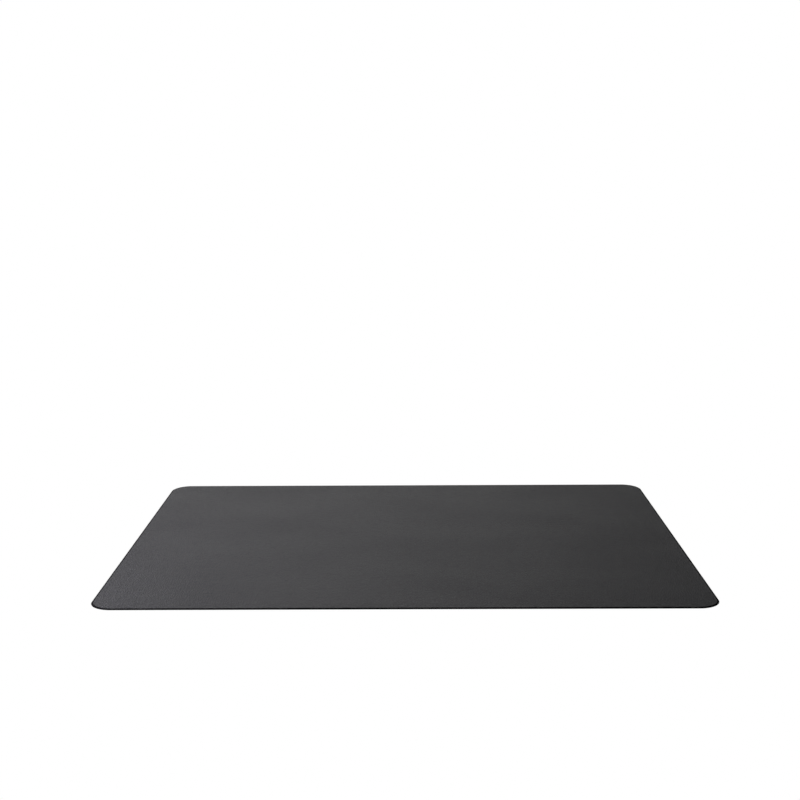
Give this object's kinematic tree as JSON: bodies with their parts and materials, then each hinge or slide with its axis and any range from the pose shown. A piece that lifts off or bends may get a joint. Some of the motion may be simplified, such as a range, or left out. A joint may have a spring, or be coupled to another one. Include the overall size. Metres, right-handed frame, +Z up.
{
  "type": "chair mat",
  "caption": "Thin rectangular floor mat for a rolling office chair: laminated vinyl plies with an embossed top, a studded grip underside and a bevelled edge band with rounded corners.",
  "frame": {"origin": "centre of the underside, where the mat lies on the floor", "axes": "+Z up out of the wear sheet, +X along the long side, -Y towards the long edge that faces the viewer"},
  "size_m": [1.2, 0.9, 0.002],
  "materials": {
    "wear_vinyl": "satin",
    "scrim_yarn": "matte",
    "core_vinyl": "matte",
    "backing_vinyl": "matte",
    "band_vinyl": "matte"
  },
  "bodies": {
    "root": {"wear_sheet": "wear_vinyl", "reinforcing_scrim": "scrim_yarn", "core_sheet": "core_vinyl", "grip_backing": "backing_vinyl", "edge_band": "band_vinyl"}
  },
  "joints": []
}
